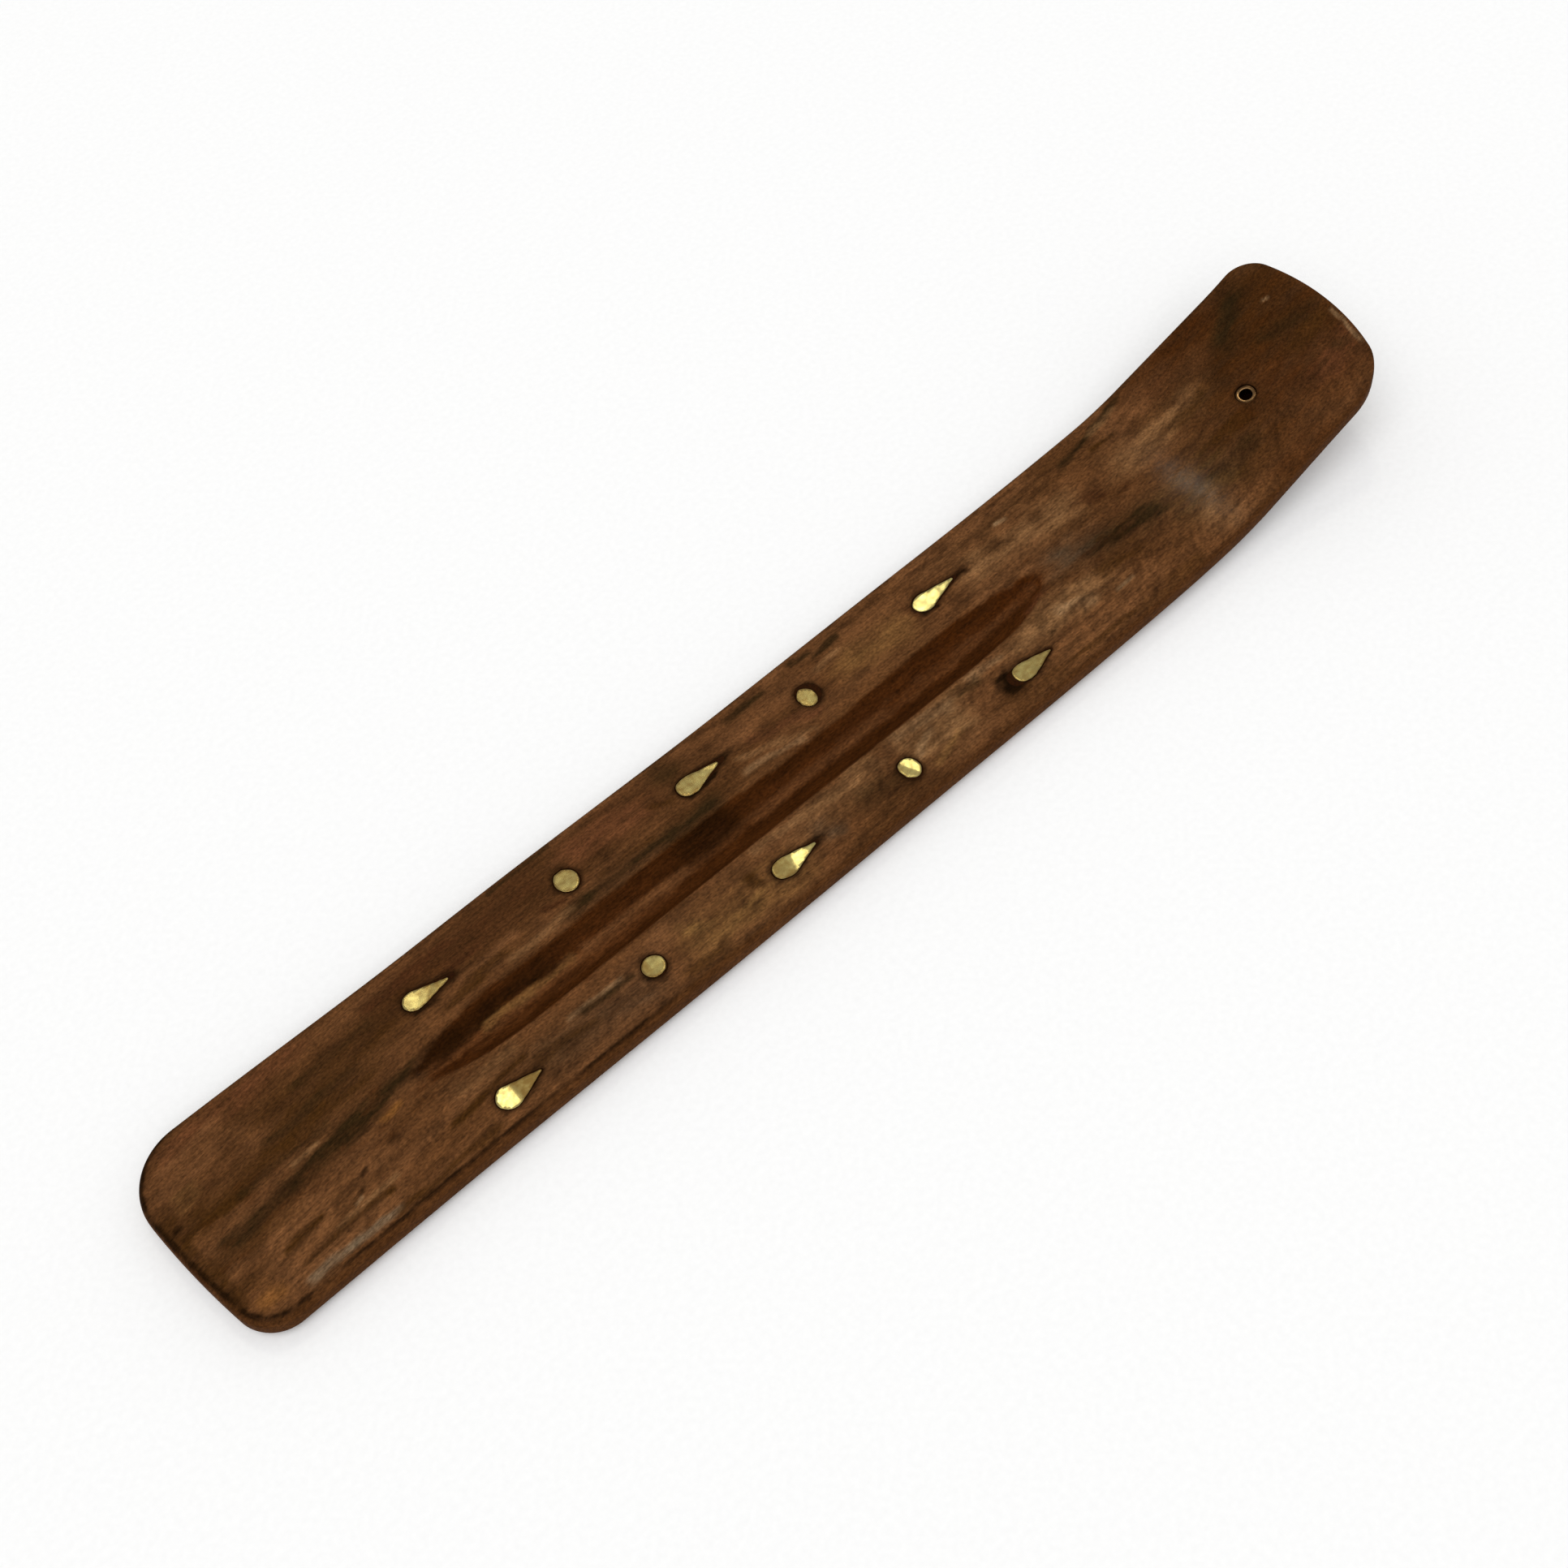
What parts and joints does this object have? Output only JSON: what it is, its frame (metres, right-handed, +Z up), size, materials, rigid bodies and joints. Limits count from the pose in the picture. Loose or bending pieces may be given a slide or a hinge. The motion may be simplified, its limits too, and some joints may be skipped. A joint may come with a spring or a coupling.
{
  "type": "incense stick holder",
  "caption": "Flat wooden incense stick holder with an up-swept tail, a brass-lined stick hole, a long ash groove and rows of brass teardrop and dot inlays.",
  "frame": {"origin": "under the middle of the object's box, on the surface that it rests on", "axes": "+X from the flat end to the raised tail, +Y to the left row of inlays, +Z up"},
  "size_m": [0.254, 0.038, 0.0187],
  "materials": {
    "sheesham_wood": "satin varnish over dark streaky hardwood",
    "inlay_brass": "sanded flush, with fine scratches and flat facets",
    "dark_filler": "dark lac, semi-gloss",
    "eyelet_brass": "dull tarnished tube"
  },
  "bodies": {
    "root": {"wooden_tray": "sheesham_wood", "teardrop_inlay_front_left": "inlay_brass", "teardrop_inlay_front_right": "inlay_brass", "teardrop_inlay_middle_left": "inlay_brass", "teardrop_inlay_middle_right": "inlay_brass", "teardrop_inlay_rear_left": "inlay_brass", "teardrop_inlay_rear_right": "inlay_brass", "dot_inlay_front_left": "inlay_brass", "dot_inlay_front_right": "inlay_brass", "dot_inlay_rear_left": "inlay_brass", "dot_inlay_rear_right": "inlay_brass", "teardrop_filler_front_left": "dark_filler", "teardrop_filler_front_right": "dark_filler", "teardrop_filler_middle_left": "dark_filler", "teardrop_filler_middle_right": "dark_filler", "teardrop_filler_rear_left": "dark_filler", "teardrop_filler_rear_right": "dark_filler", "dot_filler_front_left": "dark_filler", "dot_filler_front_right": "dark_filler", "dot_filler_rear_left": "dark_filler", "dot_filler_rear_right": "dark_filler", "stick_eyelet": "eyelet_brass"}
  },
  "joints": []
}
